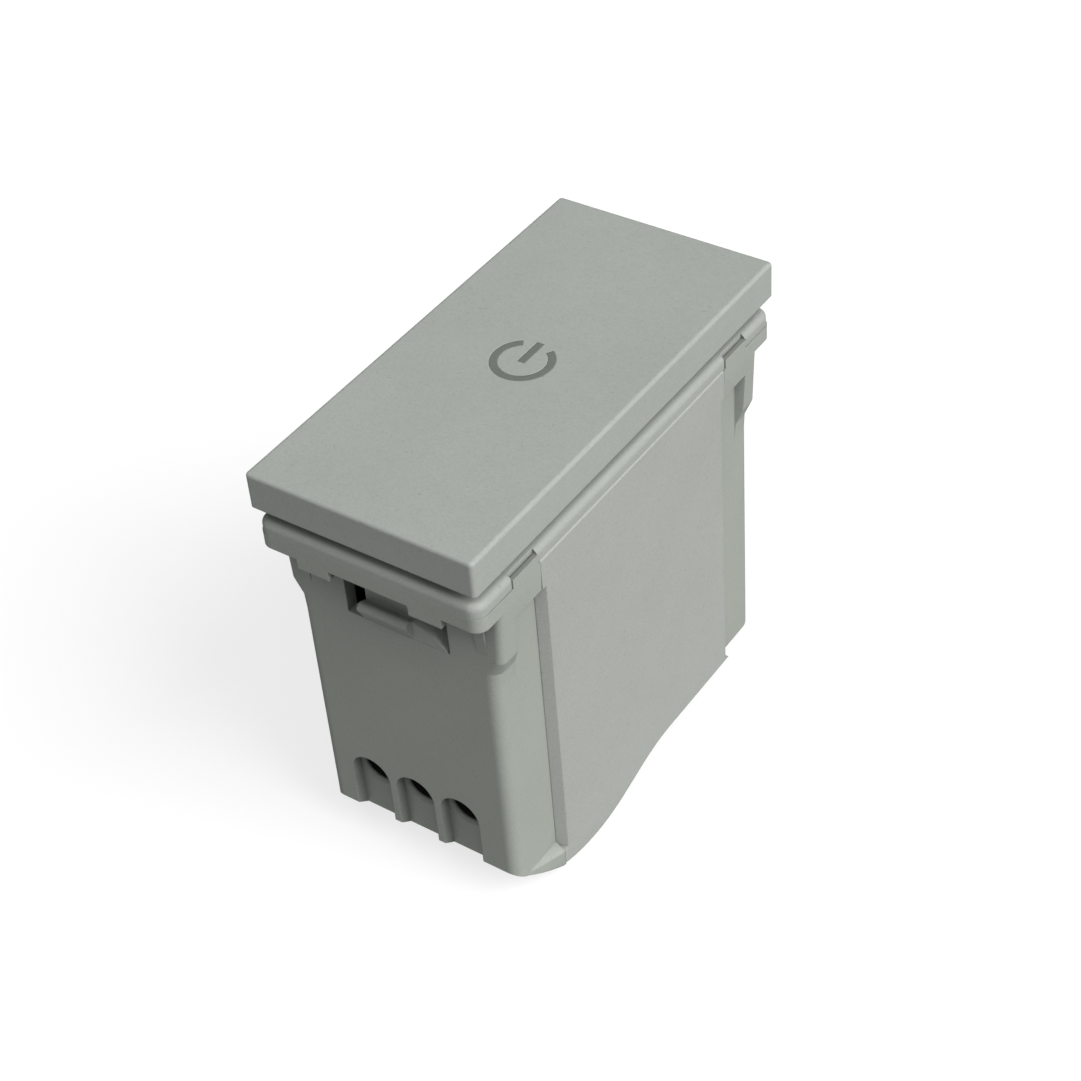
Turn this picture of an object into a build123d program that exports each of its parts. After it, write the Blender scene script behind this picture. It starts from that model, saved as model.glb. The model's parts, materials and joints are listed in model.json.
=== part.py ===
from build123d import *
import math
import os

# One-module wall push button with a changeover contact and three rear screw terminals.
# Millimetres.  +Z points out of the key face, +Y runs along the long side towards the top of
# the symbol and +X runs across.  The origin is the centre of the flange face that seats on the
# mounting frame, so the mechanism hangs below Z = 0 and the key stands above it.

# Key
KEY_W = 21.9
KEY_L = 45.0
KEY_H = 3.4
KEY_TOP = 7.5
KEY_BOTTOM = KEY_TOP - KEY_H
KEY_WALL = 1.2
KEY_ROOF = 1.3
KEY_IN_W = KEY_W - 2 * KEY_WALL
KEY_IN_L = KEY_L - 2 * KEY_WALL
KEY_CORNER_R = 0.4
KEY_EDGE_R = 0.35
CATCH_IN = 0.3
CATCH_H = 0.6
CATCH_L = 4.0
SYMBOL_Y = 0.3
SYMBOL_R = 2.78
SYMBOL_STROKE = 0.68
SYMBOL_GAP_DEG = 33.0
SYMBOL_BAR_LOW = 0.05
SYMBOL_BAR_HIGH = 3.0
SYMBOL_DEPTH = 0.25

# Flange and bezel
FLANGE_W = 21.9
FLANGE_L = 44.6
FLANGE_R = 1.2
SEAM_Z = 1.4
BEZEL_TOP = 2.7
BEZEL_INSET = 0.1
BEZEL_EDGE_R = 0.65
NECK_W = 18.8
NECK_L = 41.8
NECK_WALL = 0.9
NECK_TOP = 4.0
NOTCH_START = 14.3
NOTCH_END = 17.8
NOTCH_DEPTH = 0.45
RIM_W = 17.3
RIM_L = 37.0
RIM_WALL = 0.9
RIM_H = 1.2
UPSTAND_T = 0.45
UPSTAND_TOP = 2.25

# Housing
BODY_W = 20.0
BODY_L = 39.6
BODY_R = 1.15
WALL = 1.2
FLOOR = 1.3
REAR_Z = -32.7
DEEP_Z = -35.1
DEEP_Y = -9.0
RAMP_Y = 3.5
NEAR_EDGE_Z = -31.0
FAR_EDGE_R = 1.5
POCKET_START = 14.1
POCKET_END = 17.8
POCKET_SLOPE = 0.5
POCKET_TOP = -1.6
GUIDE_R = 0.7
GUIDE_STEP_TOP = -5.4
GUIDE_STEP_END = -7.0
GUIDE_END = -8.6
GUIDE_STEP_OUT = 0.7
GUIDE_END_OUT = 0.1
COVER_T = (FLANGE_W - BODY_W) / 2
COVER_GAP = 0.02
COVER_EDGE = 0.15
COVER_SLOPE = 0.55
WINDOW_HALF_L = 12.3
WINDOW_TOP = -3.0
WINDOW_BOTTOM = -28.0
TAB_X = 5.5
TAB_W = 3.2
TAB_H = 0.95
TAB_T = 1.0
RIB_X = 8.8
RIB_W = 1.0
RIB_OUT = 0.45
RIB_END = -5.0
LIP_TOP = -31.9
LIP_RAMP = 0.6
LIP_L = 4.2
LIP_CREST = 0.4
PARTITION_T = 0.6
LEDGE_L = 1.4
LEDGE_H = 1.5

# Snap latches
LATCH_X0 = -4.75
LATCH_X1 = 5.5
LATCH_WINDOW_TOP = -0.4
LATCH_WINDOW_Z = -6.55
LATCH_GAP = 0.02
NOSE_X0 = -3.1
NOSE_X1 = 1.9
SCOOP_X1 = 5.3
LATCH_ROOT_Y = -18.05
LATCH_ROOT_Z = -14.05
LATCH_ARM_T = 1.0
LATCH_TOP = -0.6
NOSE_OUT = 1.35
NOSE_RIDGE_Z = -4.0
NOSE_RIDGE_R = 0.45
NOSE_CATCH_IN = 0.55
NOSE_CATCH_Z = -4.9
SCOOP_HIGH_Z = -4.7
SCOOP_BULGE = 0.25

# Terminals
PITCH = 4.75
TERMINAL_X = -0.45
ENTRY_Z = -26.4
ENTRY_ARCH_R = 2.03
ENTRY_R = 1.75
ENTRY_RIM = 0.25
ENTRY_CHANNEL = 1.2
ENTRY_BLOCK_Y = -16.7
ENTRY_BLOCK_TOP = -22.3
CHAMBER_END = -9.2
SCREW_Y = -12.8
SCREW_HOLE_R = 2.0
SCREW_HEAD_R = 1.85
SCREW_HEAD_Z = -34.2
SCREW_HEAD_H = 1.4
SCREW_R = 1.25
SCREW_SLOT = 0.6
SCREW_EDGE = 0.2
CAGE_W = 3.9
CAGE_L = 4.4
CAGE_WALL = 0.55
CAGE_BASE = 1.1
CAGE_BOTTOM = -30.5
CAGE_ROOF = -24.2

# Contacts
STRIP_T = 0.8
STRIP_W = 2.6
STRIP_TOP = -28.4
FOOT_Y = -16.2
PLATE_END = 10.4
TIP_H = 0.8
EAR_T = 0.8
EAR_R = 1.3
EAR_DROP = 1.6
EAR_END = -4.5
EYE_R = 1.25
PIN_EDGE = 0.15
PIN_PROUD = 0.3
RIVET_R = 0.8
PIVOT_Y = -6.0
PIVOT_Z = -11.0
PIN_R = 0.75
PLUNGER_Y = -1.0
PLUNGER_R = 1.5
CONTACT_Y = 9.0
CONTACT_R = 1.2
LEVER_W = 3.0
LEVER_T = 0.8
LEVER_CLEAR = 0.03
BREAK_Z = -9.8
MAKE_Z = -15.1
SHELF_TOP = -16.8
SHELF_T = 1.5
BLOCK_W = 17.4
BLOCK_END = 12.0
BLOCK_LOW = -33.6
BLOCK_WALL = 1.5
LEVER_SPRING_Y = 3.0
LEVER_SPRING_R = 1.4
LEVER_WIRE_R = 0.15
LEVER_TURNS = 6
RETURN_SPRING_Y = 16.5
RETURN_SPRING_R = 2.0
RETURN_WIRE_R = 0.2
RETURN_TURNS = 4
SPRING_RECESS = 0.8
CARRIER_Z = 5.0
CARRIER_GAP = 0.1
SPIGOT_R = 1.6
SPIGOT_H = 1.0
HOOK_X = 6.5
HOOK_Y = 12.0
HOOK_T = 1.2
HOOK_W = 3.0
HOOK_OUT = 0.5
HOOK_BOTTOM = -1.0
SLOT_GAP = 0.1
RUN_CLEAR = 0.06

TERMINALS = {
    "break": TERMINAL_X - PITCH,
    "common": TERMINAL_X,
    "make": TERMINAL_X + PITCH,
}


def rear_profile(shift=0.0):
    """Side outline in Y and Z: level rear at the far half, deeper and rounded at the terminals."""
    half = BODY_L / 2
    with BuildSketch() as outline:
        with BuildLine():
            Line((-half, SEAM_Z + shift), (half, SEAM_Z + shift))
            Line((half, SEAM_Z + shift), (half, REAR_Z + FAR_EDGE_R + shift))
            TangentArc(
                (half, REAR_Z + FAR_EDGE_R + shift),
                (half - FAR_EDGE_R, REAR_Z + shift),
                tangent=(0, -1),
            )
            Line((half - FAR_EDGE_R, REAR_Z + shift), (RAMP_Y, REAR_Z + shift))
            Spline(
                (RAMP_Y, REAR_Z + shift),
                (DEEP_Y, DEEP_Z + shift),
                tangents=[(-1, 0), (-1, 0)],
            )
            TangentArc((DEEP_Y, DEEP_Z + shift), (-half, NEAR_EDGE_Z + shift), tangent=(-1, 0))
            Line((-half, NEAR_EDGE_Z + shift), (-half, SEAM_Z + shift))
        make_face()
    return outline.sketch


def symbol_outline():
    """Generic standby symbol: an open ring and a bar in its gap."""
    gap_x = 2 * SYMBOL_R * math.tan(math.radians(SYMBOL_GAP_DEG))
    with BuildSketch() as symbol:
        with Locations((0, SYMBOL_Y)):
            Circle(SYMBOL_R)
            Circle(SYMBOL_R - SYMBOL_STROKE, mode=Mode.SUBTRACT)
        with BuildLine():
            Polyline(
                (0, SYMBOL_Y),
                (gap_x, SYMBOL_Y + 2 * SYMBOL_R),
                (-gap_x, SYMBOL_Y + 2 * SYMBOL_R),
                close=True,
            )
        make_face(mode=Mode.SUBTRACT)
        with Locations((0, (SYMBOL_BAR_LOW + SYMBOL_BAR_HIGH) / 2)):
            Rectangle(SYMBOL_STROKE, SYMBOL_BAR_HIGH - SYMBOL_BAR_LOW)
    return symbol.sketch


outer_profile = rear_profile()
inner_profile = rear_profile(FLOOR)
symbol_face = symbol_outline()
parts = []


def finish(part, name):
    """Label a finished piece and keep it for export."""
    part.label = name
    parts.append(part)


# ---- Key group ----

# Key cap: a shallow shell with catches for the carrier and a pocket for the symbol
with BuildPart() as key_cap:
    with BuildSketch(Plane.XY.offset(KEY_BOTTOM)):
        RectangleRounded(KEY_W, KEY_L, KEY_CORNER_R)
    extrude(amount=KEY_H)
    fillet(key_cap.faces().sort_by(Axis.Z)[-1].edges(), KEY_EDGE_R)
    with BuildSketch(Plane.XY.offset(KEY_BOTTOM)):
        Rectangle(KEY_IN_W, KEY_IN_L)
    extrude(amount=KEY_H - KEY_ROOF, mode=Mode.SUBTRACT)
    with BuildSketch(Plane.XY.offset(CARRIER_Z - CATCH_H)):
        with GridLocations(KEY_IN_W - CATCH_IN, 2 * HOOK_Y, 2, 2):
            Rectangle(CATCH_IN, CATCH_L)
    extrude(amount=CATCH_H)
    with BuildSketch(Plane.XY.offset(KEY_TOP - SYMBOL_DEPTH)):
        add(symbol_face)
    extrude(amount=SYMBOL_DEPTH, mode=Mode.SUBTRACT)
finish(key_cap.part, "key_cap")

with BuildPart() as symbol_inlay:
    with BuildSketch(Plane.XY.offset(KEY_TOP - SYMBOL_DEPTH)):
        add(symbol_face)
    extrude(amount=SYMBOL_DEPTH)
finish(symbol_inlay.part, "symbol_inlay")

# Key carrier: plate under the roof, spring spigots and four hooked legs through the bezel
with BuildPart() as key_carrier:
    with BuildSketch(Plane.XY.offset(CARRIER_Z)):
        Rectangle(KEY_IN_W - CARRIER_GAP, KEY_IN_L - CARRIER_GAP)
    extrude(amount=KEY_TOP - KEY_ROOF - CARRIER_Z)
    with BuildSketch(Plane.XY.offset(CARRIER_Z)):
        with GridLocations(2 * HOOK_X, 2 * HOOK_Y, 2, 2):
            Rectangle(HOOK_T, HOOK_W)
    extrude(amount=-(CARRIER_Z - HOOK_BOTTOM))
    for side in (-1, 1):
        catch_x = side * (HOOK_X + HOOK_T / 2)
        for hook_y in (-HOOK_Y, HOOK_Y):
            with BuildSketch(Plane.XZ.offset(-hook_y)):
                with BuildLine():
                    Polyline(
                        (catch_x, HOOK_BOTTOM),
                        (catch_x + side * HOOK_OUT, HOOK_BOTTOM + HOOK_OUT),
                        (catch_x + side * HOOK_OUT, SEAM_Z - LATCH_GAP),
                        (catch_x, SEAM_Z - LATCH_GAP),
                        close=True,
                    )
                make_face()
            extrude(amount=HOOK_W / 2, both=True)
    with BuildSketch(Plane.XY.offset(CARRIER_Z)):
        with GridLocations(0, 2 * RETURN_SPRING_Y, 1, 2):
            Circle(SPIGOT_R)
    extrude(amount=-SPIGOT_H)
finish(key_carrier.part, "key_carrier")

# Plunger: round stem in the bezel's guide, with a ball end on the contact lever
plunger_end_z = PIVOT_Z + LEVER_T / 2 + LEVER_CLEAR
with BuildPart() as plunger:
    with BuildSketch(Plane.YZ):
        with BuildLine():
            top = Line((PLUNGER_Y, CARRIER_Z), (PLUNGER_Y + PLUNGER_R, CARRIER_Z))
            side_line = Line(top @ 1, (PLUNGER_Y + PLUNGER_R, plunger_end_z + PLUNGER_R))
            ball = TangentArc(side_line @ 1, (PLUNGER_Y, plunger_end_z), tangent=(0, -1))
            Line(ball @ 1, top @ 0)
        make_face()
    revolve(axis=Axis((0, PLUNGER_Y, 0), (0, 0, 1)))
finish(plunger.part, "plunger")


def coil_spring(centre, low, high, mean_r, wire_r, turns):
    """Compression spring standing on Z between two seats."""
    span = high - low - 2 * wire_r
    with BuildPart() as spring:
        with BuildLine():
            coil = Helix(
                pitch=span / turns,
                height=span,
                radius=mean_r,
                center=(centre[0], centre[1], low + wire_r),
            )
        with BuildSketch(Plane(origin=coil @ 0, z_dir=coil % 0)):
            Circle(wire_r)
        sweep(path=coil, is_frenet=True)
    return spring.part


for name, side in (("near", -1), ("far", 1)):
    finish(
        coil_spring(
            (0, side * RETURN_SPRING_Y),
            BEZEL_TOP - SPRING_RECESS,
            CARRIER_Z,
            RETURN_SPRING_R,
            RETURN_WIRE_R,
            RETURN_TURNS,
        ),
        f"return_spring_{name}",
    )


# ---- Housing group ----

# Bezel: the upper cover that closes the housing and guides the key
with BuildPart() as bezel:
    with BuildSketch(Plane.XY.offset(SEAM_Z)):
        RectangleRounded(FLANGE_W - 2 * BEZEL_INSET, FLANGE_L, FLANGE_R)
    extrude(amount=BEZEL_TOP - SEAM_Z)
    fillet(bezel.faces().sort_by(Axis.Z)[-1].edges(), BEZEL_EDGE_R)
    # neck inside the key skirt
    with BuildSketch(Plane.XY.offset(BEZEL_TOP)):
        Rectangle(NECK_W, NECK_L)
        Rectangle(NECK_W - 2 * NECK_WALL, NECK_L - 2 * NECK_WALL, mode=Mode.SUBTRACT)
    extrude(amount=NECK_TOP - BEZEL_TOP)
    # locating rim inside the housing mouth
    with BuildSketch(Plane.XY.offset(SEAM_Z)):
        Rectangle(RIM_W, RIM_L)
        Rectangle(RIM_W - 2 * RIM_WALL, RIM_L - 2 * RIM_WALL, mode=Mode.SUBTRACT)
    extrude(amount=-RIM_H)
    # notches over the housing's upstands
    with BuildSketch(Plane.XY.offset(SEAM_Z)):
        with GridLocations(FLANGE_W - NOTCH_DEPTH, NOTCH_START + NOTCH_END, 2, 2):
            Rectangle(NOTCH_DEPTH + 2 * BEZEL_INSET, NOTCH_END - NOTCH_START)
    extrude(amount=BEZEL_TOP - SEAM_Z, mode=Mode.SUBTRACT)
    # guide hole, leg slots and spring recesses
    with BuildSketch(Plane.XY.offset(SEAM_Z)):
        with Locations((0, PLUNGER_Y)):
            Circle(PLUNGER_R + RUN_CLEAR)
        with GridLocations(2 * HOOK_X, 2 * HOOK_Y, 2, 2):
            Rectangle(HOOK_T + 2 * SLOT_GAP, HOOK_W + 2 * SLOT_GAP)
    extrude(amount=BEZEL_TOP - SEAM_Z, mode=Mode.SUBTRACT)
    with BuildSketch(Plane.XY.offset(BEZEL_TOP)):
        with GridLocations(0, 2 * RETURN_SPRING_Y, 1, 2):
            Circle(RETURN_SPRING_R + RETURN_WIRE_R + SLOT_GAP)
    extrude(amount=-SPRING_RECESS, mode=Mode.SUBTRACT)
finish(bezel.part, "bezel_cover")

# Corner guides: blocks flush with the flange that taper into the body's long sides
with BuildPart() as guides:
    sections = (
        (0.0, COVER_T, GUIDE_R),
        (GUIDE_STEP_TOP, GUIDE_STEP_OUT, GUIDE_R),
        (GUIDE_STEP_END, GUIDE_END_OUT, BODY_R),
        (GUIDE_END, 0.0, BODY_R),
    )
    for upper, lower in zip(sections, sections[1:]):
        for z, out, corner_r in (upper, lower):
            with BuildSketch(Plane.XY.offset(z)):
                RectangleRounded(BODY_W + 2 * out, BODY_L, corner_r)
        loft()
    # pockets between the guides, wider at the mouth
    for side in (-1, 1):
        with BuildSketch(Plane.XY.offset(POCKET_TOP)):
            with BuildLine():
                Polyline(
                    (side * FLANGE_W / 2, POCKET_END),
                    (side * BODY_W / 2, POCKET_END - POCKET_SLOPE),
                    (side * BODY_W / 2, POCKET_SLOPE - POCKET_END),
                    (side * FLANGE_W / 2, -POCKET_END),
                    close=True,
                )
            make_face()
        extrude(amount=GUIDE_END, mode=Mode.SUBTRACT)

# Rear lips: beside the covers the long sides swell out to the covers' level at the rear edge
with BuildPart() as lips:
    for side in (-1, 1):
        for out_x, length, top_z in (
            (BODY_W / 2, LIP_L, LIP_TOP),
            (FLANGE_W / 2, LIP_CREST, LIP_TOP - LIP_RAMP),
        ):
            with BuildSketch(Plane.YZ.offset(side * out_x)):
                with Locations((-POCKET_START - length / 2, (top_z + DEEP_Z) / 2)):
                    Rectangle(length, top_z - DEEP_Z)
        loft()
    with BuildSketch(Plane.YZ):
        add(outer_profile)
    extrude(amount=FLANGE_W, both=True, mode=Mode.INTERSECT)

# Inside of the housing: an open box that follows the rear, less the terminal block
with BuildPart() as cavity:
    with BuildSketch(Plane.XY.offset(SEAM_Z)):
        Rectangle(BODY_W - 2 * WALL, BODY_L - 2 * WALL)
    extrude(amount=DEEP_Z - SEAM_Z)
    with BuildSketch(Plane.YZ):
        add(inner_profile)
    extrude(amount=BODY_W, both=True, mode=Mode.INTERSECT)
    # solid wall around the wire entries
    with BuildSketch(Plane.XY.offset(ENTRY_BLOCK_TOP)):
        with Locations((0, (ENTRY_BLOCK_Y - BODY_L / 2) / 2)):
            Rectangle(BODY_W, BODY_L / 2 + ENTRY_BLOCK_Y)
    extrude(amount=DEEP_Z, mode=Mode.SUBTRACT)
    # partitions between the three terminals
    with BuildSketch(Plane.XY.offset(ENTRY_BLOCK_TOP)):
        with Locations((TERMINAL_X, (ENTRY_BLOCK_Y + CHAMBER_END) / 2)):
            with GridLocations(PITCH, 0, 4, 1):
                Rectangle(PARTITION_T, CHAMBER_END - ENTRY_BLOCK_Y)
    extrude(amount=DEEP_Z, mode=Mode.SUBTRACT)
    # ledges under the latch roots
    for side in (-1, 1):
        with BuildSketch(Plane.XY.offset(LATCH_ROOT_Z - LATCH_ARM_T / 2)):
            with Locations(((NOSE_X0 + SCOOP_X1) / 2, side * (BODY_L / 2 - WALL))):
                Rectangle(SCOOP_X1 - NOSE_X0, 2 * LEDGE_L)
        extrude(amount=-LEDGE_H, mode=Mode.SUBTRACT)

with BuildPart() as housing:
    with BuildSketch(Plane.XY):
        RectangleRounded(BODY_W, BODY_L, BODY_R)
    extrude(amount=DEEP_Z)
    with BuildSketch(Plane.YZ):
        add(outer_profile)
    extrude(amount=BODY_W, both=True, mode=Mode.INTERSECT)
    add(guides.part)
    add(lips.part)
    # flange
    with BuildSketch(Plane.XY):
        RectangleRounded(FLANGE_W, FLANGE_L, FLANGE_R)
    extrude(amount=SEAM_Z)
    # upstands in the bezel's notches
    with BuildSketch(Plane.XY.offset(SEAM_Z)):
        with GridLocations(FLANGE_W - UPSTAND_T, NOTCH_START + NOTCH_END, 2, 2):
            Rectangle(UPSTAND_T, NOTCH_END - NOTCH_START - 2 * COVER_GAP)
    extrude(amount=UPSTAND_TOP - SEAM_Z)
    # tabs and tapered ribs under the two short edges of the flange
    with BuildSketch(Plane.XY):
        with GridLocations(2 * TAB_X, FLANGE_L - TAB_T, 2, 2):
            Rectangle(TAB_W, TAB_T)
    extrude(amount=-TAB_H)
    for side in (-1, 1):
        for rib_x in (-RIB_X, RIB_X):
            with BuildSketch(Plane.YZ.offset(rib_x)):
                with BuildLine():
                    Polyline(
                        (side * BODY_L / 2, 0),
                        (side * (BODY_L / 2 + RIB_OUT), 0),
                        (side * BODY_L / 2, RIB_END),
                        close=True,
                    )
                make_face()
            extrude(amount=RIB_W / 2, both=True)
    # seats of the two side covers, and the side openings they close
    with BuildSketch(Plane.XY.offset(SEAM_Z)):
        with GridLocations(BODY_W + 2 * COVER_T, 0, 2, 1):
            Rectangle(2 * COVER_T, 2 * POCKET_START)
    extrude(amount=DEEP_Z, mode=Mode.SUBTRACT)
    add(cavity.part, mode=Mode.SUBTRACT)
    with BuildSketch(Plane.YZ):
        with Locations((0, (WINDOW_TOP + WINDOW_BOTTOM) / 2)):
            Rectangle(2 * WINDOW_HALF_L, WINDOW_TOP - WINDOW_BOTTOM)
    extrude(amount=BODY_W, both=True, mode=Mode.SUBTRACT)
    # latch openings through both end walls
    with BuildSketch(Plane.XZ):
        with Locations(((LATCH_X0 + LATCH_X1) / 2, (LATCH_WINDOW_TOP + LATCH_WINDOW_Z) / 2)):
            Rectangle(LATCH_X1 - LATCH_X0, LATCH_WINDOW_TOP - LATCH_WINDOW_Z)
    extrude(amount=BODY_L / 2, both=True, mode=Mode.SUBTRACT)
    # arched channels, wire entries and screw access holes
    for entry_x in TERMINALS.values():
        with BuildSketch(Plane.XZ.offset(BODY_L / 2)):
            with Locations((entry_x, ENTRY_Z)):
                Circle(ENTRY_ARCH_R)
            with Locations((entry_x, (ENTRY_Z + DEEP_Z) / 2)):
                Rectangle(2 * ENTRY_ARCH_R, ENTRY_Z - DEEP_Z)
        extrude(amount=-ENTRY_CHANNEL, mode=Mode.SUBTRACT)
        with BuildSketch(Plane.XZ.offset(-ENTRY_BLOCK_Y)):
            with Locations((entry_x, ENTRY_Z)):
                Circle(ENTRY_R)
        extrude(amount=BODY_L / 2 + ENTRY_BLOCK_Y, mode=Mode.SUBTRACT)
        with BuildSketch(Plane.XZ.offset(BODY_L / 2 - ENTRY_CHANNEL - ENTRY_RIM)):
            with Locations((entry_x, ENTRY_Z)):
                Circle(ENTRY_R)
        with BuildSketch(Plane.XZ.offset(BODY_L / 2 - ENTRY_CHANNEL)):
            with Locations((entry_x, ENTRY_Z)):
                Circle(ENTRY_R + ENTRY_RIM)
        loft(mode=Mode.SUBTRACT)
        with BuildSketch(Plane.XY.offset(DEEP_Z)):
            with Locations((entry_x, SCREW_Y)):
                Circle(SCREW_HOLE_R)
        extrude(amount=2 * FLOOR, mode=Mode.SUBTRACT)
finish(housing.part, "housing")


# Side covers: flush plates that close the side openings
def side_cover(side):
    """Cover on the side given by its sign, with a plateau that fills the opening."""
    with BuildPart() as cover:
        with BuildSketch(Plane.YZ.offset(side * BODY_W / 2)):
            add(outer_profile)
        extrude(amount=side * COVER_T)
        with BuildSketch(Plane.XY.offset(SEAM_Z)):
            Rectangle(2 * FLANGE_W, 2 * (POCKET_START - COVER_GAP))
        extrude(amount=DEEP_Z - SEAM_Z, mode=Mode.INTERSECT)
        outer_face = cover.faces().sort_by(Axis.X)[-1 if side > 0 else 0]
        chamfer(outer_face.edges().filter_by(Axis.Z, reverse=True), COVER_EDGE)
        # sloped flanks between the corner guides and the rear lips
        for end in (-1, 1):
            with BuildSketch(Plane.XY.offset(POCKET_TOP)):
                with BuildLine():
                    Polyline(
                        (side * BODY_W / 2, end * POCKET_START),
                        (side * FLANGE_W / 2, end * POCKET_START),
                        (side * FLANGE_W / 2, end * (POCKET_START - COVER_SLOPE)),
                        close=True,
                    )
                make_face()
            extrude(amount=LIP_TOP - LIP_RAMP - POCKET_TOP, mode=Mode.SUBTRACT)
        with BuildSketch(Plane.YZ.offset(side * BODY_W / 2)):
            with Locations((0, (WINDOW_TOP + WINDOW_BOTTOM) / 2)):
                Rectangle(
                    2 * (WINDOW_HALF_L - SLOT_GAP),
                    WINDOW_TOP - WINDOW_BOTTOM - 2 * SLOT_GAP,
                )
        extrude(amount=-side * WALL)
    return cover.part


finish(side_cover(-1), "side_cover_left")
finish(side_cover(1), "side_cover_right")


def snap_latch(side):
    """Flexing arm inside an end wall, with a hook and a sloping shoulder in the opening."""
    wall_y = BODY_L / 2
    arm_y = -LATCH_ROOT_Y - LATCH_ARM_T / 2
    arm_out_y = -LATCH_ROOT_Y + LATCH_ARM_T / 2
    sill_z = LATCH_WINDOW_Z + LATCH_GAP
    with BuildPart() as latch:
        with BuildSketch(Plane.YZ.offset(NOSE_X0)):
            with Locations((side * (arm_y + arm_out_y) / 2, (LATCH_ROOT_Z + LATCH_TOP) / 2)):
                Rectangle(LATCH_ARM_T, LATCH_TOP - LATCH_ROOT_Z)
            with Locations((side * -LATCH_ROOT_Y, LATCH_ROOT_Z)):
                Circle(LATCH_ARM_T / 2)
        extrude(amount=SCOOP_X1 - NOSE_X0)
        # hook: ramp below, catch face above
        with BuildSketch(Plane.YZ.offset(NOSE_X0)):
            with BuildLine():
                Polyline(
                    (side * arm_y, sill_z),
                    (side * wall_y, sill_z),
                    (side * (wall_y + NOSE_OUT), NOSE_RIDGE_Z),
                    (side * (wall_y - NOSE_CATCH_IN), NOSE_CATCH_Z),
                    (side * (wall_y - NOSE_CATCH_IN), LATCH_TOP),
                    (side * arm_y, LATCH_TOP),
                    close=True,
                )
            make_face()
        extrude(amount=NOSE_X1 - NOSE_X0)
        ridge = latch.edges().filter_by(Axis.X).sort_by(Axis.Y)[0 if side < 0 else -1]
        fillet(ridge, NOSE_RIDGE_R)
        # shoulder beside the hook: flush with the wall, its top falls away to one side
        with BuildSketch(Plane.XY.offset(sill_z)):
            with Locations(((NOSE_X1 + SCOOP_X1) / 2, side * (arm_y + wall_y) / 2)):
                Rectangle(SCOOP_X1 - NOSE_X1, wall_y - arm_y)
        extrude(amount=LATCH_TOP - sill_z)
        with BuildSketch(Plane.XZ.offset(-side * arm_y)):
            with BuildLine():
                fall = ThreePointArc(
                    (NOSE_X1, SCOOP_HIGH_Z),
                    (
                        (NOSE_X1 + SCOOP_X1) / 2 + SCOOP_BULGE,
                        (SCOOP_HIGH_Z + sill_z) / 2 + SCOOP_BULGE,
                    ),
                    (SCOOP_X1, sill_z),
                )
                Polyline(fall @ 1, (SCOOP_X1, 0), (NOSE_X1, 0), fall @ 0)
            make_face()
        extrude(amount=-side * (wall_y - arm_y), mode=Mode.SUBTRACT)
    return latch.part


finish(snap_latch(-1), "latch_near")
finish(snap_latch(1), "latch_far")


# ---- Terminals ----

thread_top = STRIP_TOP - STRIP_T - LATCH_GAP
head_top = SCREW_HEAD_Z + SCREW_HEAD_H
for name, screw_x in TERMINALS.items():
    # clamp screw: slotted head at the rear, tip against the contact strip
    with BuildPart() as clamp_screw:
        with BuildSketch(Plane.XY.offset(SCREW_HEAD_Z)):
            with Locations((screw_x, SCREW_Y)):
                Circle(SCREW_HEAD_R)
        extrude(amount=SCREW_HEAD_H)
        chamfer(clamp_screw.edges().sort_by(Axis.Z)[0], SCREW_EDGE)
        with BuildSketch(Plane.XY.offset(head_top)):
            with Locations((screw_x, SCREW_Y)):
                Circle(SCREW_R)
        extrude(amount=thread_top - head_top)
        chamfer(clamp_screw.edges().sort_by(Axis.Z)[-1], SCREW_EDGE)
        with BuildSketch(Plane.XY.offset(SCREW_HEAD_Z)):
            with Locations((screw_x, SCREW_Y)):
                Rectangle(2 * SCREW_HEAD_R, SCREW_SLOT)
        extrude(amount=SCREW_HEAD_H / 2, mode=Mode.SUBTRACT)
    finish(clamp_screw.part, f"clamp_screw_{name}")

    # clamp cage: a square steel ring whose threaded base rides on the screw
    with BuildPart() as clamp_cage:
        with BuildSketch(Plane.XZ.offset(-SCREW_Y)):
            with Locations((screw_x, (CAGE_BOTTOM + CAGE_ROOF + CAGE_WALL) / 2)):
                Rectangle(CAGE_W, CAGE_ROOF + CAGE_WALL - CAGE_BOTTOM)
        extrude(amount=CAGE_L / 2, both=True)
        fillet(clamp_cage.edges().filter_by(Axis.Y), CAGE_WALL / 2)
        with BuildSketch(Plane.XZ.offset(-SCREW_Y)):
            with Locations((screw_x, (CAGE_BOTTOM + CAGE_BASE + CAGE_ROOF) / 2)):
                Rectangle(CAGE_W - 2 * CAGE_WALL, CAGE_ROOF - CAGE_BOTTOM - CAGE_BASE)
        extrude(amount=CAGE_L, both=True, mode=Mode.SUBTRACT)
        with BuildSketch(Plane.XY.offset(CAGE_BOTTOM)):
            with Locations((screw_x, SCREW_Y)):
                Circle(SCREW_R + RUN_CLEAR)
        extrude(amount=CAGE_BASE, mode=Mode.SUBTRACT)
    finish(clamp_cage.part, f"clamp_cage_{name}")


# ---- Contacts ----


def strip_foot(centre_x, top_z):
    """Flat foot through the clamp cage and an upright leg behind it, as a private solid."""
    with BuildPart(mode=Mode.PRIVATE) as foot:
        with BuildSketch(Plane.YZ.offset(centre_x)):
            with BuildLine():
                Polyline(
                    (FOOT_Y, STRIP_TOP - STRIP_T),
                    (CHAMBER_END, STRIP_TOP - STRIP_T),
                    (CHAMBER_END, top_z),
                    (CHAMBER_END - STRIP_T, top_z),
                    (CHAMBER_END - STRIP_T, STRIP_TOP),
                    (FOOT_Y, STRIP_TOP),
                    close=True,
                )
            make_face()
        extrude(amount=STRIP_W / 2, both=True)
    return foot.part


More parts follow.
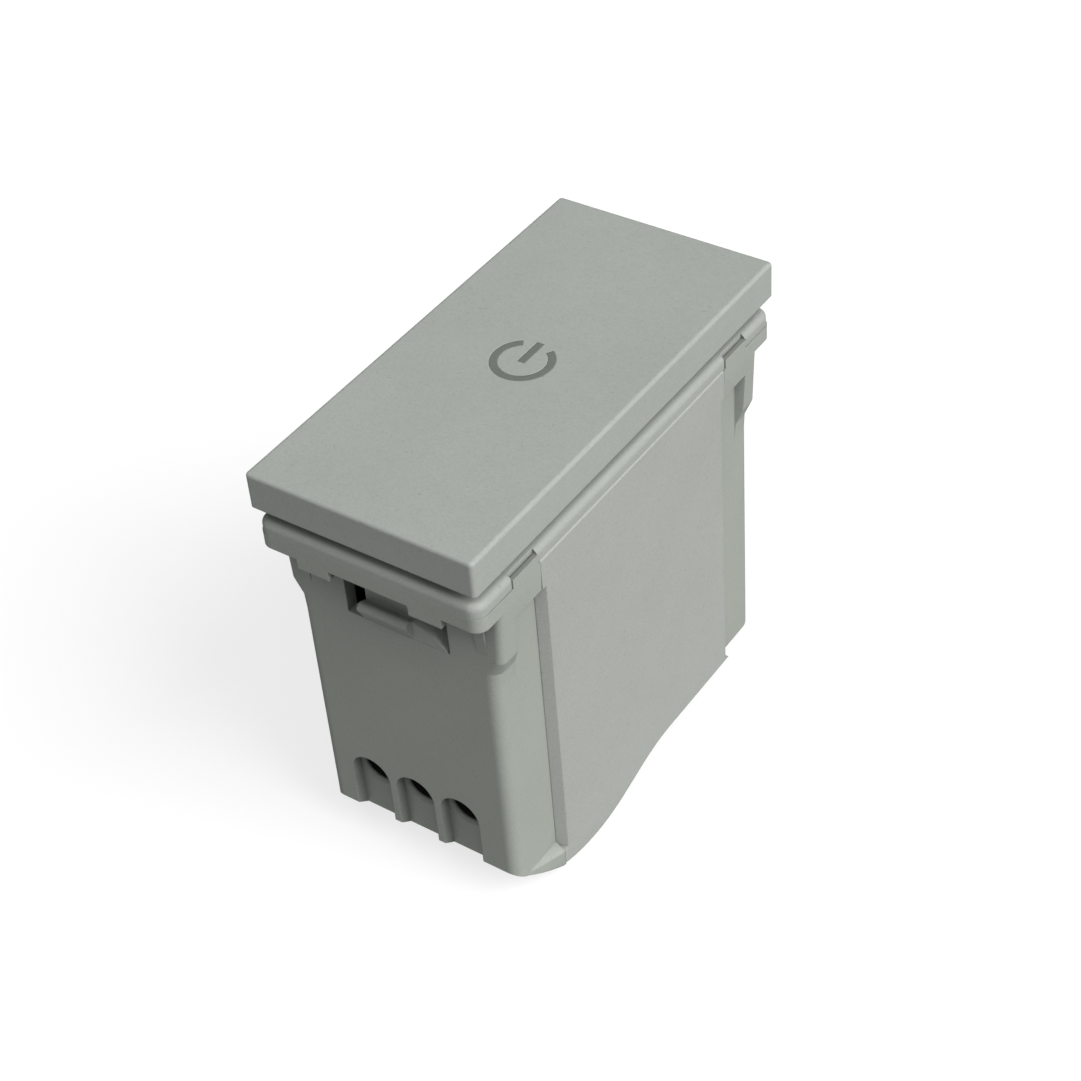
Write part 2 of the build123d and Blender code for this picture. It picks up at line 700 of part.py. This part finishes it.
def fixed_strip(centre_x, plate_low):
    """Strip from a side terminal to a finger that reaches across to the contact line."""
    side = math.copysign(1, centre_x)
    with BuildPart() as strip:
        add(strip_foot(centre_x, plate_low + STRIP_T))
        with BuildSketch(Plane.XY.offset(plate_low)):
            with Locations((centre_x, (CHAMBER_END - STRIP_T + PLATE_END) / 2)):
                Rectangle(STRIP_W, PLATE_END - CHAMBER_END + STRIP_T)
            with Locations(((centre_x - side * STRIP_W / 2) / 2, CONTACT_Y)):
                Rectangle(abs(centre_x) + STRIP_W / 2, 2 * (PLATE_END - CONTACT_Y))
        extrude(amount=STRIP_T)
    return strip.part


break_plate_low = BREAK_Z + TIP_H
make_plate_low = MAKE_Z - TIP_H - STRIP_T
finish(fixed_strip(TERMINALS["break"], break_plate_low), "break_strip")
finish(fixed_strip(TERMINALS["make"], make_plate_low), "make_strip")

# Common strip: leg to a shelf with two ears for the lever's pivot pin
ear_base = PIVOT_Z - EAR_DROP
with BuildPart() as common_strip:
    add(strip_foot(TERMINALS["common"], ear_base))
    with BuildSketch(Plane.XY.offset(ear_base - STRIP_T)):
        with Locations((0, (CHAMBER_END - STRIP_T + EAR_END) / 2)):
            Rectangle(LEVER_W + 2 * (EAR_T + SLOT_GAP), EAR_END - CHAMBER_END + STRIP_T)
    extrude(amount=STRIP_T)
    for side in (-1, 1):
        with BuildSketch(Plane.YZ.offset(side * (LEVER_W / 2 + SLOT_GAP))):
            with Locations((PIVOT_Y, PIVOT_Z)):
                Circle(EAR_R)
            with Locations((PIVOT_Y, (PIVOT_Z + ear_base) / 2)):
                Rectangle(2 * EAR_R, EAR_DROP)
            with Locations((PIVOT_Y, PIVOT_Z)):
                Circle(PIN_R, mode=Mode.SUBTRACT)
        extrude(amount=side * EAR_T)
finish(common_strip.part, "common_strip")

with BuildPart() as pivot_pin:
    with BuildSketch(Plane.YZ):
        with Locations((PIVOT_Y, PIVOT_Z)):
            Circle(PIN_R)
    extrude(amount=LEVER_W / 2 + SLOT_GAP + EAR_T + PIN_PROUD, both=True)
    chamfer(pivot_pin.edges(), PIN_EDGE)
finish(pivot_pin.part, "pivot_pin")

# Contact lever: blade with a rolled eye on the pivot pin
with BuildPart() as contact_lever:
    with BuildSketch(Plane.YZ):
        with Locations((PIVOT_Y, PIVOT_Z)):
            Circle(EYE_R)
        with Locations(((PIVOT_Y + PLATE_END) / 2, PIVOT_Z)):
            Rectangle(PLATE_END - PIVOT_Y, LEVER_T)
        with Locations((PIVOT_Y, PIVOT_Z)):
            Circle(PIN_R + RUN_CLEAR, mode=Mode.SUBTRACT)
    extrude(amount=LEVER_W / 2, both=True)
    with BuildSketch(Plane.XY.offset(PIVOT_Z)):
        with Locations((0, CONTACT_Y)):
            Circle(RIVET_R)
    extrude(amount=LEVER_T, both=True, mode=Mode.SUBTRACT)
finish(contact_lever.part, "contact_lever")

# Moving contact: a rivet with a silver face on each side of the blade
moving_low = 2 * PIVOT_Z - BREAK_Z
with BuildPart() as moving_contact:
    with BuildSketch(Plane.YZ):
        with BuildLine():
            Polyline(
                (CONTACT_Y, moving_low),
                (CONTACT_Y + CONTACT_R, moving_low),
                (CONTACT_Y + CONTACT_R, PIVOT_Z - LEVER_T / 2),
                (CONTACT_Y + RIVET_R, PIVOT_Z - LEVER_T / 2),
                (CONTACT_Y + RIVET_R, PIVOT_Z + LEVER_T / 2),
                (CONTACT_Y + CONTACT_R, PIVOT_Z + LEVER_T / 2),
                (CONTACT_Y + CONTACT_R, BREAK_Z),
                (CONTACT_Y, BREAK_Z),
                close=True,
            )
        make_face()
    revolve(axis=Axis((0, CONTACT_Y, 0), (0, 0, 1)))
finish(moving_contact.part, "moving_contact")

for name, tip_low in (("break", BREAK_Z), ("make", MAKE_Z - TIP_H)):
    with BuildPart() as fixed_contact:
        with BuildSketch(Plane.XY.offset(tip_low)):
            with Locations((0, CONTACT_Y)):
                Circle(CONTACT_R)
        extrude(amount=TIP_H)
    finish(fixed_contact.part, f"{name}_contact")

# Contact block: insulating carrier for the strips and seat of the lever spring
shelf_low = SHELF_TOP - SHELF_T
with BuildPart() as contact_block:
    with BuildSketch(Plane.XY.offset(shelf_low)):
        with Locations((0, (CHAMBER_END + BLOCK_END) / 2)):
            Rectangle(BLOCK_W, BLOCK_END - CHAMBER_END)
    extrude(amount=SHELF_T)
    # upright wall behind the strip legs, reaching down to the floor
    with BuildSketch(Plane.XZ.offset(-CHAMBER_END)):
        with Locations((0, (shelf_low + BLOCK_LOW) / 2)):
            Rectangle(BLOCK_W, shelf_low - BLOCK_LOW)
    extrude(amount=-BLOCK_WALL)
    # pillar under the common strip's shelf and post under the break strip
    with BuildSketch(Plane.XY.offset(SHELF_TOP)):
        with Locations((0, CHAMBER_END + BLOCK_WALL / 2)):
            Rectangle(STRIP_W, BLOCK_WALL)
    extrude(amount=ear_base - STRIP_T - SHELF_TOP)
    with BuildSketch(Plane.XY.offset(SHELF_TOP)):
        with Locations((TERMINALS["break"], BLOCK_END - BLOCK_WALL)):
            Rectangle(STRIP_W, 2 * BLOCK_WALL)
    extrude(amount=break_plate_low - SHELF_TOP)
    # spigot inside the lever spring
    with BuildSketch(Plane.XY.offset(SHELF_TOP)):
        with Locations((0, LEVER_SPRING_Y)):
            Circle(LEVER_SPRING_R - LEVER_WIRE_R - SLOT_GAP)
    extrude(amount=SPIGOT_H)
finish(contact_block.part, "contact_block")

finish(
    coil_spring(
        (0, LEVER_SPRING_Y),
        SHELF_TOP,
        PIVOT_Z - LEVER_T / 2,
        LEVER_SPRING_R,
        LEVER_WIRE_R,
        LEVER_TURNS,
    ),
    "lever_spring",
)

os.makedirs("parts", exist_ok=True)
for piece in parts:
    export_step(piece, f"parts/{piece.label}.step")
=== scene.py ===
import json
import math

import bpy
from mathutils import Euler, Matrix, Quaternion, Vector


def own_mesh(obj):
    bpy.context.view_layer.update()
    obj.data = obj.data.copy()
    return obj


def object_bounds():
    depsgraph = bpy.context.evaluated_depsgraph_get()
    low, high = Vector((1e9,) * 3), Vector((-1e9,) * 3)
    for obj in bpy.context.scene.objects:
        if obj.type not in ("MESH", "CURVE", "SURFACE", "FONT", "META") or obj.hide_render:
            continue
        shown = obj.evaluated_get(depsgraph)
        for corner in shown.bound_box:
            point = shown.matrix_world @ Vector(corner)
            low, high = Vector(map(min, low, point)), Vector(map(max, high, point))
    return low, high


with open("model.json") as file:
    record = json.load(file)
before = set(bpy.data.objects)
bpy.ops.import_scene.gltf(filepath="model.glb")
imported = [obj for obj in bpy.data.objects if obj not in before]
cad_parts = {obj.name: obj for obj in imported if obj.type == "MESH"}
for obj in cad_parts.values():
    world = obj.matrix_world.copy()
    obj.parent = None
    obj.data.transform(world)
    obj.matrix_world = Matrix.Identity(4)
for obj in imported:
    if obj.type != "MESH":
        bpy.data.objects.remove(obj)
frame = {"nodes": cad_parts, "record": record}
cad_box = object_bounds()

MM = 0.001

# ---- Materials ----

# noise scales count features per metre, lengths are in millimetres
MOTTLE_SCALE = 90.0
CLOUD_SCALE = 900.0
GRAIN_SCALE = 5000.0
SPECK_SCALE = 3800.0
SHEEN_SCALE = 260.0
STAIN_SCALE = 350.0
STREAK_SCALE = 3000.0
PLASTIC_EDGE = 0.15
METAL_EDGE = 0.08
EDGE_TURN = 0.85
PLASTIC_IOR = 1.45
PLASTIC_SPECULAR = 0.22
# reach of the painted corner shade, in millimetres
CREVICE_SHADE_REACH = 5.0
CRISP_BELOW = (-0.20, -0.05)
CRISP_SHARE = 0.3
# painted shade in corners: occlusion range and the tone at its dark end
SOFT_CORNER_SHADE = (0.25, 0.70, 0.80)
DEEP_CORNER_SHADE = (0.45, 0.80, 0.58)
# half width and half length behind which a face counts as inside the body and gets painted shade
INNER_REACH = (9.2, 18.2)
INNER_FADE = 0.05
INNER_SHADE_TONE = 0.06


def new_material(name):
    """Empty node material with a Principled surface."""
    material = bpy.data.materials.new(name)
    material.use_nodes = True
    nodes = material.node_tree.nodes
    nodes.clear()
    surface = nodes.new("ShaderNodeBsdfPrincipled")
    output = nodes.new("ShaderNodeOutputMaterial")
    material.node_tree.links.new(surface.outputs["BSDF"], output.inputs["Surface"])
    return material, surface


def add_node(material, kind, **values):
    """Node of a kind with its properties and input defaults set by name."""
    node = material.node_tree.nodes.new(kind)
    for key, value in values.items():
        if hasattr(node, key):
            setattr(node, key, value)
        else:
            node.inputs[key.replace("_", " ")].default_value = value
    return node


def link(material, source, target):
    material.node_tree.links.new(source, target)


def noise(material, coords, scale, detail=2.0, roughness=0.5):
    """Noise in object space; scale counts features per metre."""
    node = add_node(material, "ShaderNodeTexNoise", Scale=scale, Detail=detail, Roughness=roughness)
    link(material, coords.outputs["Object"], node.inputs["Vector"])
    return node.outputs["Fac"]


def remap(material, source, low, high, to_low, to_high):
    """Source value between low and high mapped to a new range, clamped."""
    node = add_node(material, "ShaderNodeMapRange", clamp=True)
    for socket, value in zip(("From Min", "From Max", "To Min", "To Max"), (low, high, to_low, to_high)):
        node.inputs[socket].default_value = value
    link(material, source, node.inputs["Value"])
    return node.outputs["Result"]


def combine(material, operation, first, second):
    """Math node on two sources, or on a source and a number."""
    node = add_node(material, "ShaderNodeMath", operation=operation)
    link(material, first, node.inputs[0])
    if isinstance(second, float):
        node.inputs[1].default_value = second
    else:
        link(material, second, node.inputs[1])
    return node.outputs["Value"]


def combine_vectors(material, operation, first, second):
    """Vector math node on two sources."""
    node = add_node(material, "ShaderNodeVectorMath", operation=operation)
    link(material, first, node.inputs[0])
    link(material, second, node.inputs[1])
    return node


def tint(material, colour, factor):
    """Colour multiplied by a grey factor."""
    node = add_node(material, "ShaderNodeVectorMath", operation="SCALE")
    node.inputs[0].default_value = colour
    link(material, factor, node.inputs["Scale"])
    return node.outputs["Vector"]


def edge_mask(material, radius):
    """0 on flat faces, rising to 1 along edges within the radius, and a normal rounded over the
    edges that face up; edges that turn downwards are rounded less."""
    bevel = add_node(material, "ShaderNodeBevel", samples=4, Radius=radius).outputs["Normal"]
    flat = add_node(material, "ShaderNodeNewGeometry").outputs["Normal"]
    turn = combine_vectors(material, "DOT_PRODUCT", bevel, flat).outputs["Value"]
    height = add_node(material, "ShaderNodeSeparateXYZ")
    link(material, bevel, height.inputs["Vector"])
    upward = remap(material, height.outputs["Z"], *CRISP_BELOW, CRISP_SHARE, 1.0)
    step = combine_vectors(material, "SUBTRACT", bevel, flat)
    part = add_node(material, "ShaderNodeVectorMath", operation="SCALE")
    link(material, step.outputs["Vector"], part.inputs[0])
    link(material, upward, part.inputs["Scale"])
    rounded = combine_vectors(material, "ADD", flat, part.outputs["Vector"]).outputs["Vector"]
    edges = remap(material, turn, 1.0, EDGE_TURN, 0.0, 1.0)
    return combine(material, "MULTIPLY", edges, upward), rounded


def crevice_painted_shade(material, distance, shade_openings):
    """Painted shade from occlusion: 1 on open faces and less in corners, and for shaded openings close
    to 0 inside them.
    """
    shade = add_node(material, "ShaderNodeAmbientOcclusion", samples=8, Distance=distance)
    if not shade_openings:
        return remap(material, shade.outputs["AO"], *SOFT_CORNER_SHADE, 1.0)
    corner = remap(material, shade.outputs["AO"], *DEEP_CORNER_SHADE, 1.0)
    return combine(material, "MULTIPLY", corner, painted_inner_shade(material))


def painted_inner_shade(material):
    """Painted shade of the unlit interior: 1 on the outer faces and close to 0 more than a wall's
    thickness inside the body.
    """
    place = add_node(material, "ShaderNodeNewGeometry")
    axes = add_node(material, "ShaderNodeSeparateXYZ")
    link(material, place.outputs["Position"], axes.inputs["Vector"])
    outside = []
    for axis, reach in zip("XY", INNER_REACH):
        distance = combine(material, "ABSOLUTE", axes.outputs[axis], 0.0)
        outside.append(remap(material, distance, (reach - INNER_FADE) * MM, reach * MM, INNER_SHADE_TONE, 1.0))
    return combine(material, "MAXIMUM", *outside)


def moulded_plastic(name, colour, roughness=0.55, edge_highlight=0.05, shade_openings=False):
    """Spark-eroded moulded plastic: mottling, fine grain, painted shade in recesses and paler edges as a
    painted highlight.
    """
    material, surface = new_material(name)
    coords = add_node(material, "ShaderNodeTexCoord")
    layers = (
        remap(material, noise(material, coords, MOTTLE_SCALE, 3.0), 0.35, 0.65, 0.98, 1.02),
        remap(material, noise(material, coords, CLOUD_SCALE, 4.0), 0.3, 0.7, 0.988, 1.012),
        remap(material, noise(material, coords, GRAIN_SCALE, 2.0, 0.7), 0.3, 0.7, 0.95, 1.05),
        remap(material, noise(material, coords, SPECK_SCALE, 1.0), 0.66, 0.80, 1.0, 0.84),
        # painted shade in corners and openings
        crevice_painted_shade(material, CREVICE_SHADE_REACH * MM, shade_openings),
    )
    edges, rounded = edge_mask(material, PLASTIC_EDGE * MM)
    # paler edges, less where they face down: painted highlight
    factor = remap(material, edges, 0.0, 1.0, 1.0, 1.0 + edge_highlight)
    for layer in layers:
        factor = combine(material, "MULTIPLY", factor, layer)
    link(material, tint(material, colour, factor), surface.inputs["Base Color"])
    sheen = noise(material, coords, SHEEN_SCALE, 4.0)
    rough = remap(material, sheen, 0.3, 0.7, roughness - 0.06, roughness + 0.06)
    link(material, combine(material, "SUBTRACT", rough, remap(material, edges, 0.0, 1.0, 0.0, 0.08)),
         surface.inputs["Roughness"])
    surface.inputs["IOR"].default_value = PLASTIC_IOR
    surface.inputs["Specular IOR Level"].default_value = PLASTIC_SPECULAR
    bump = add_node(material, "ShaderNodeBump", Strength=0.5, Distance=0.02 * MM)
    link(material, noise(material, coords, GRAIN_SCALE, 3.0, 0.6), bump.inputs["Height"])
    link(material, rounded, bump.inputs["Normal"])
    link(material, bump.outputs["Normal"], surface.inputs["Normal"])
    return material


def worn_metal(name, colour, roughness=0.3, stretch=(1.0, 1.0, 1.0), tarnish=0.12):
    """Metal with drawn grain along one axis, light tarnish and brighter rubbed edges."""
    material, surface = new_material(name)
    coords = add_node(material, "ShaderNodeTexCoord")
    mapping = add_node(material, "ShaderNodeMapping")
    mapping.inputs["Scale"].default_value = stretch
    link(material, coords.outputs["Object"], mapping.inputs["Vector"])
    lines = add_node(material, "ShaderNodeTexNoise", Scale=STREAK_SCALE, Detail=3.0)
    link(material, mapping.outputs["Vector"], lines.inputs["Vector"])
    stain = remap(material, noise(material, coords, STAIN_SCALE, 4.0), 0.4, 0.7, 1.0, 1.0 - tarnish)
    streak = remap(material, lines.outputs["Fac"], 0.3, 0.7, 0.94, 1.04)
    edges, rounded = edge_mask(material, METAL_EDGE * MM)
    rub = remap(material, edges, 0.0, 1.0, 1.0, 1.12)
    factor = combine(material, "MULTIPLY", combine(material, "MULTIPLY", stain, streak), rub)
    link(material, tint(material, colour, factor), surface.inputs["Base Color"])
    link(material, remap(material, lines.outputs["Fac"], 0.3, 0.7, roughness - 0.07, roughness + 0.1),
         surface.inputs["Roughness"])
    surface.inputs["Metallic"].default_value = 1.0
    bump = add_node(material, "ShaderNodeBump", Strength=0.25, Distance=0.01 * MM)
    link(material, lines.outputs["Fac"], bump.inputs["Height"])
    link(material, rounded, bump.inputs["Normal"])
    link(material, bump.outputs["Normal"], surface.inputs["Normal"])
    return material


# colour and roughness
PLASTIC = {
    "key_grey": ((0.285, 0.303, 0.283), 0.50),
    "bezel_grey": ((0.286, 0.303, 0.281), 0.52),
    "body_grey": ((0.274, 0.294, 0.266), 0.58),
    "cover_grey": ((0.296, 0.309, 0.289), 0.58),
    "symbol_grey": ((0.126, 0.138, 0.123), 0.60),
    "inner_white": ((0.720, 0.715, 0.680), 0.45),
    "block_dark": ((0.030, 0.031, 0.034), 0.50),
}
# pieces whose openings get painted shade inside
DEEP_SHADE = ("housing", "contact_block")
# colour, roughness and stretch of the drawn grain
METAL = {
    "brass": ((0.76, 0.56, 0.27), 0.32, (1.0, 0.1, 1.0)),
    "cage_steel": ((0.60, 0.59, 0.55), 0.38, (1.0, 0.1, 1.0)),
    "screw_steel": ((0.63, 0.63, 0.61), 0.33, (1.0, 1.0, 0.2)),
    "spring_steel": ((0.45, 0.45, 0.46), 0.30, (1.0, 1.0, 1.0)),
    "silver": ((0.86, 0.85, 0.82), 0.22, (1.0, 1.0, 1.0)),
}


def make_materials():
    """Every material slot of the record as a procedural finish."""
    made = {n: moulded_plastic(n, c, r) for n, (c, r) in PLASTIC.items()}
    made.update({n: worn_metal(n, c, r, s) for n, (c, r, s) in METAL.items()})
    return made


def make_deep_materials(slots):
    """Finishes of the pieces with painted shade inside their openings."""
    return {n: moulded_plastic(n + "_deep", *PLASTIC[slots[n]], shade_openings=True) for n in DEEP_SHADE}


# ---- Sub-parts ----

# pieces with a moulded edge radius, in millimetres
SOFT_EDGE = {
    "key_carrier": 0.10,
    "contact_block": 0.10,
}


def soften(piece, width):
    """Small moulded radius on a piece's sharp edges, with smooth shading across it."""
    weld = piece.modifiers.new("weld", "WELD")
    weld.merge_threshold = 0.001 * MM
    dissolve = piece.modifiers.new("flats", "DECIMATE")
    dissolve.decimate_type = "DISSOLVE"
    dissolve.angle_limit = math.radians(0.5)
    bevel = piece.modifiers.new("radius", "BEVEL")
    bevel.width = width * MM
    bevel.segments = 2
    bevel.limit_method = "ANGLE"
    bevel.angle_limit = math.radians(35)
    bevel.use_clamp_overlap = True
    bevel.harden_normals = True


def dress(materials):
    """Material and edge finish on every CAD node."""
    slots = {s["node"]: s["material_slot"] for s in frame["record"]["subparts"]}
    deep = make_deep_materials(slots)
    for name, piece in frame["nodes"].items():
        piece.data.materials.clear()
        piece.data.materials.append(deep.get(name, materials[slots[name]]))
        if name in SOFT_EDGE:
            soften(piece, SOFT_EDGE[name])


def squash_springs():
    """Coil springs each given a mesh of their own."""
    for name in ("return_spring_near", "return_spring_far", "lever_spring"):
        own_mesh(frame["nodes"][name])


# ---- Stage ----

# camera position and lens in millimetres, angles in degrees; a lamp is its name, the direction it
# shines from, its strength and its spread
FLOOR_DROP = 0.5
FLOOR_HALF = 1200.0
CAMERA_AT = (91.25, -119.92, 119.03)
VIEW_AZIMUTH = 37.12
VIEW_ELEVATION = 41.0
VIEW_ROLL = -4.91
LENS = 75.96
SENSOR = 36.0
SURROUND = 0.05
SURROUND_SEEN = 0.97
MAIN_LIGHT = ("main_light", (0.74, 0.0, 0.67), 4.45, 40.0)
FILL_LIGHT = ("fill_light", (0.20, -0.50, 0.84), 1.32, 50.0)
FLOOR_BOUNCE = 0.30
FLOOR_SEEN = 0.90
FLOOR_GLOW = 0.74


def floor_material():
    """Plain pale paper: near white to the camera, darker in the light it throws back."""
    material, surface = new_material("floor_paper")
    coords = add_node(material, "ShaderNodeTexCoord")
    path = add_node(material, "ShaderNodeLightPath")
    tone = remap(material, noise(material, coords, 12.0, 3.0), 0.3, 0.7, 0.99, 1.01)
    shown = FLOOR_SEEN * (1 - FLOOR_GLOW)
    seen = remap(material, path.outputs["Is Camera Ray"], 0.0, 1.0, FLOOR_BOUNCE, shown)
    link(material, tint(material, (1.0, 1.0, 0.995), combine(material, "MULTIPLY", seen, tone)),
         surface.inputs["Base Color"])
    surface.inputs["Roughness"].default_value = 0.9
    surface.inputs["Specular IOR Level"].default_value = 0.0
    surface.inputs["Emission Color"].default_value = (1.0, 1.0, 1.0, 1.0)
    link(material, remap(material, path.outputs["Is Camera Ray"], 0.0, 1.0, 0.0, FLOOR_GLOW),
         surface.inputs["Emission Strength"])
    return material


def make_floor():
    """Pale floor just under the object's lowest point."""
    low = cad_box[0].z - FLOOR_DROP * MM
    bpy.ops.mesh.primitive_plane_add(size=2 * FLOOR_HALF * MM, location=(0, 0, low))
    floor = bpy.context.object
    floor.name = "floor"
    floor.data.materials.append(floor_material())


def sun(name, source, strength, spread):
    """Broad distant lamp shining from a direction."""
    lamp = bpy.data.lights.new(name, "SUN")
    lamp.energy = strength
    lamp.angle = math.radians(spread)
    holder = bpy.data.objects.new(name, lamp)
    bpy.context.scene.collection.objects.link(holder)
    holder.rotation_mode = "QUATERNION"
    holder.rotation_quaternion = Vector(source).to_track_quat("Z", "Y")


def make_lights():
    """Soft main light from above right, weaker fill from above the near end, and a surround that
    is faint as light and pale to the camera."""
    scene = bpy.context.scene
    scene.view_settings.view_transform = "Standard"
    world = bpy.data.worlds.new("surround")
    scene.world = world
    world.use_nodes = True
    background = world.node_tree.nodes["Background"]
    background.inputs["Color"].default_value = (1.0, 1.0, 1.0, 1.0)
    path = world.node_tree.nodes.new("ShaderNodeLightPath")
    seen = world.node_tree.nodes.new("ShaderNodeMapRange")
    seen.inputs["To Min"].default_value = SURROUND
    seen.inputs["To Max"].default_value = SURROUND_SEEN
    world.node_tree.links.new(path.outputs["Is Camera Ray"], seen.inputs["Value"])
    world.node_tree.links.new(seen.outputs["Result"], background.inputs["Strength"])
    sun(*MAIN_LIGHT)
    sun(*FILL_LIGHT)


def make_camera():
    """Camera at the viewing angle: above, to the right of the near end, slightly rolled."""
    data = bpy.data.cameras.new("camera")
    data.sensor_width = SENSOR
    data.lens = LENS
    data.clip_start = 1.0 * MM
    camera = bpy.data.objects.new("camera", data)
    bpy.context.scene.collection.objects.link(camera)
    camera.location = Vector(CAMERA_AT) * MM
    tilt = Euler((math.radians(90 - VIEW_ELEVATION), 0.0, math.radians(VIEW_AZIMUTH)), "XYZ")
    roll = Quaternion((0.0, 0.0, 1.0), math.radians(VIEW_ROLL))
    camera.rotation_mode = "QUATERNION"
    camera.rotation_quaternion = tilt.to_quaternion() @ roll
    bpy.context.scene.camera = camera


dress(make_materials())
squash_springs()
make_floor()
make_lights()
make_camera()
